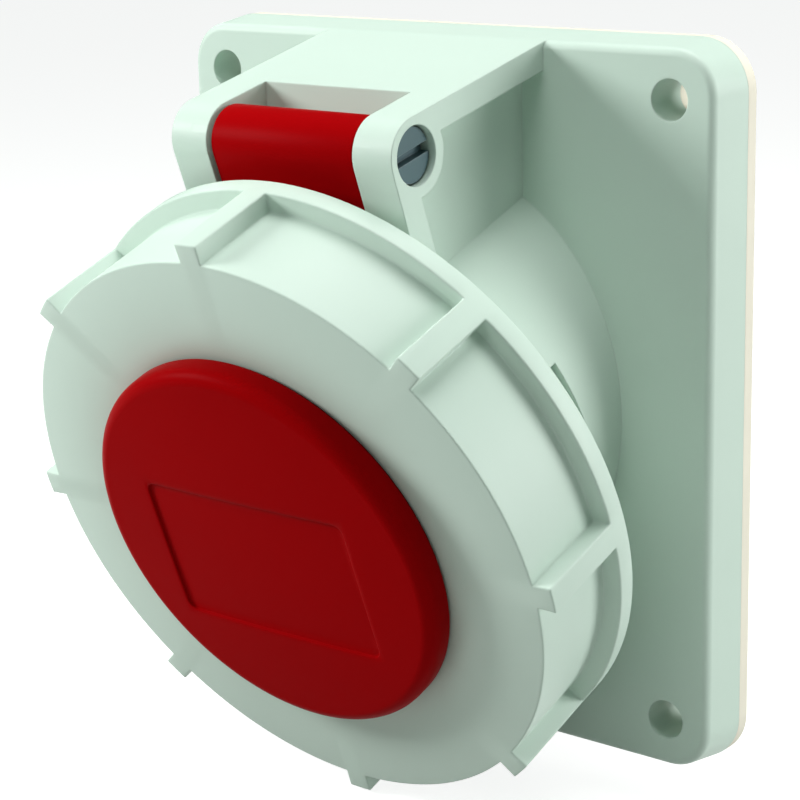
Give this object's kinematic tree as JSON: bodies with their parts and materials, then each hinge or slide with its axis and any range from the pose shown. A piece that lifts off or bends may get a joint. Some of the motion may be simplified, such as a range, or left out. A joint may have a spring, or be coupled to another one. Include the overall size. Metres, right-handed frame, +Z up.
{
  "type": "angled industrial panel socket",
  "caption": "Angled panel socket with a sprung red lid and a ribbed bayonet locking ring on a flat fixing flange.",
  "frame": {"origin": "centre of the four fixing holes, on the gasket's rear face", "axes": "+Z up, -Y out of the panel towards the user, +X to the right seen from the front"},
  "size_m": [0.092, 0.0861, 0.1056],
  "materials": {
    "housing_grey": "fine satin moulded plastic",
    "lid_red": "satin moulded plastic, dyed through",
    "gasket_cream": "soft foamed rubber",
    "carrier_dark": "glass-filled plastic",
    "seal_black": "moulded rubber",
    "brass": "turned, plated dull",
    "steel": "zinc plated",
    "spring_steel": "drawn and bright",
    "pin_slate": "hard moulded plastic"
  },
  "bodies": {
    "housing": {"housing": "housing_grey", "flange_gasket": "gasket_cream", "carrier_body": "carrier_dark", "carrier_back": "carrier_dark", "carrier_seal": "seal_black", "carrier_ring": "carrier_dark", "carrier_screws": "steel", "sleeve_l1": "brass", "sleeve_l2": "brass", "sleeve_l3": "brass", "sleeve_n": "brass", "sleeve_pe": "brass", "sleeve_clips": "spring_steel", "sleeve_clip_pe": "spring_steel", "terminal_screws": "steel", "terminal_screw_pe": "steel", "hinge_pin": "pin_slate", "pin_clip": "spring_steel", "lid_spring": "spring_steel"},
    "lid": {"lid": "lid_red", "lid_seal": "seal_black"},
    "ring": {"bayonet_ring": "housing_grey"}
  },
  "joints": [
    {"name": "lid_hinge", "type": "hinge", "parent": "housing", "child": "lid", "pos_m": [0, -0.03634, 0.03748], "axis": [-1, 0, 0], "range_deg": [0, 145], "stiffness_Nm_per_rad": 0.03, "springref_deg": -85.94},
    {"name": "ring_turn", "type": "hinge", "parent": "lid", "child": "ring", "pos_m": [0, -0.03719, -0.01136], "axis": [0, 0.9397, 0.342], "range_deg": [0, 40]}
  ]
}
